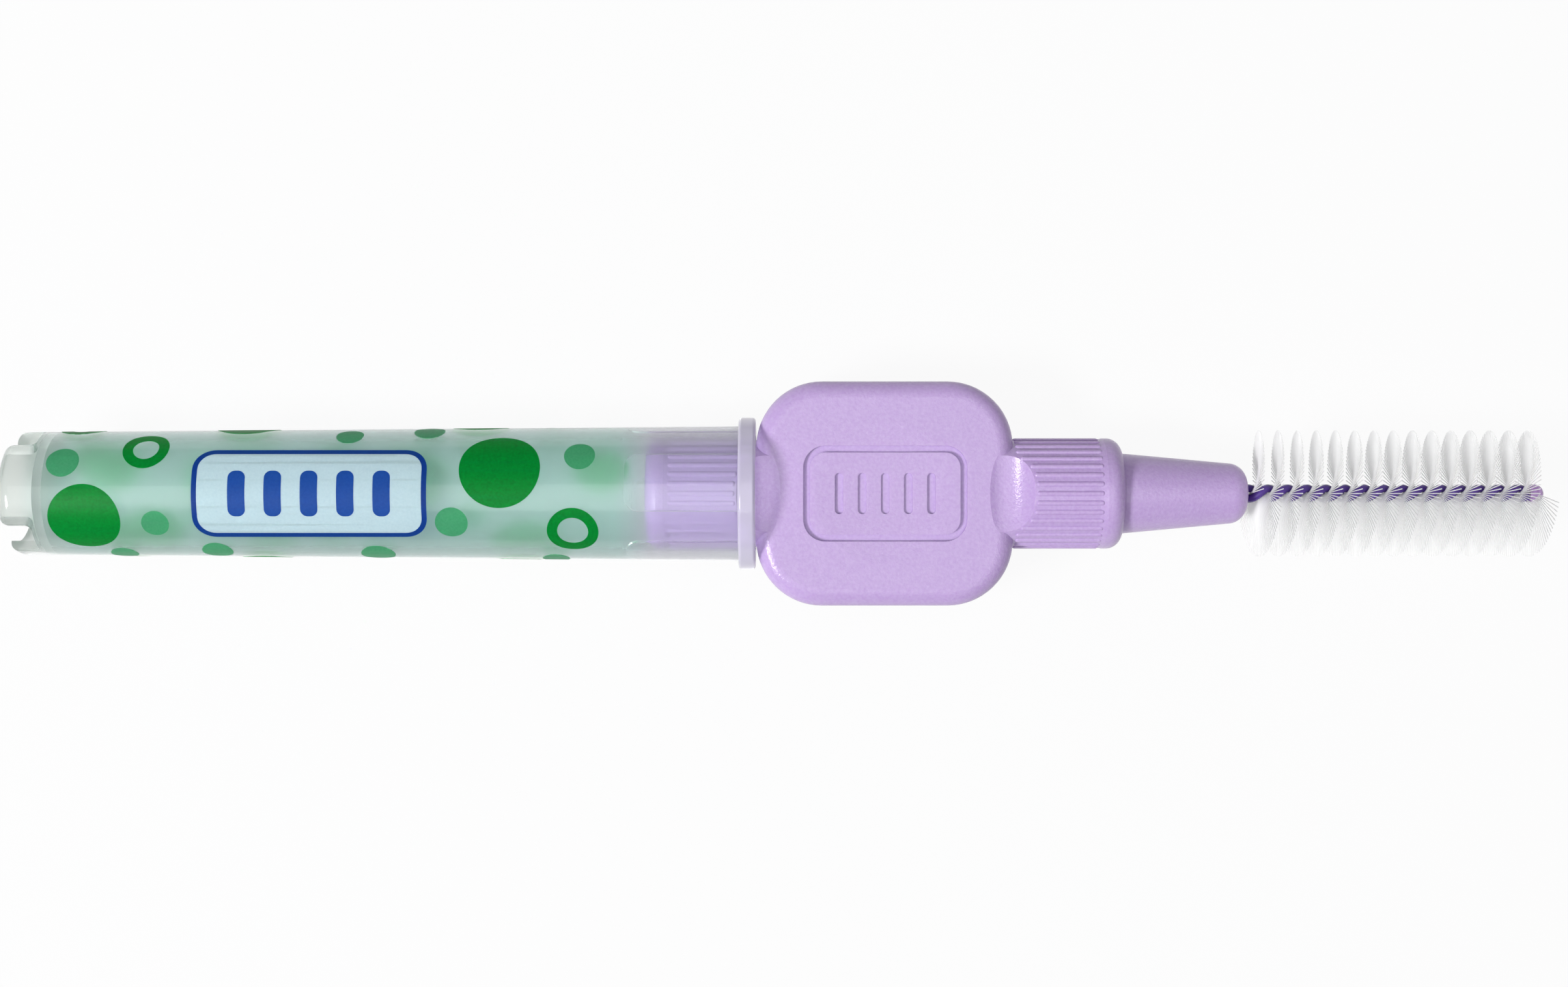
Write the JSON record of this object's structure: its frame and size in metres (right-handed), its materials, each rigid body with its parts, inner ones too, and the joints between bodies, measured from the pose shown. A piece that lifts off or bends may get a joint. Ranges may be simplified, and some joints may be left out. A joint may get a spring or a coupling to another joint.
{
  "type": "interdental brush",
  "caption": "Interdental brush: flat thumb pad, ribbed stem at each end, twisted-wire brush head and a slide-on tubular cap.",
  "frame": {"origin": "on the brush axis, half way between the cap's notched end and the brush tip, with the cap pushed home on the rear stem", "axes": "+X along the brush axis towards the brush tip, +Y across the thumb pad, +Z out of the thumb pad's marked face"},
  "size_m": [0.0908, 0.0132, 0.009],
  "materials": {
    "lilac_plastic": "satin moulded polypropylene",
    "steel_wire": "drawn",
    "purple_coating": "smooth",
    "bead_plastic": "smooth",
    "white_nylon": "smooth filament",
    "cap_plastic": "frosted translucent polypropylene"
  },
  "bodies": {
    "brush": {"handle": "lilac_plastic", "wire_core": "steel_wire", "wire_coating": "purple_coating", "tip_bead": "bead_plastic", "bristles": "white_nylon"},
    "cap": {"cap": "cap_plastic"}
  },
  "joints": [
    {"name": "cap_slide", "type": "slide", "parent": "brush", "child": "cap", "axis": [-1, 0, 0], "range_m": [0, 0.012]}
  ]
}
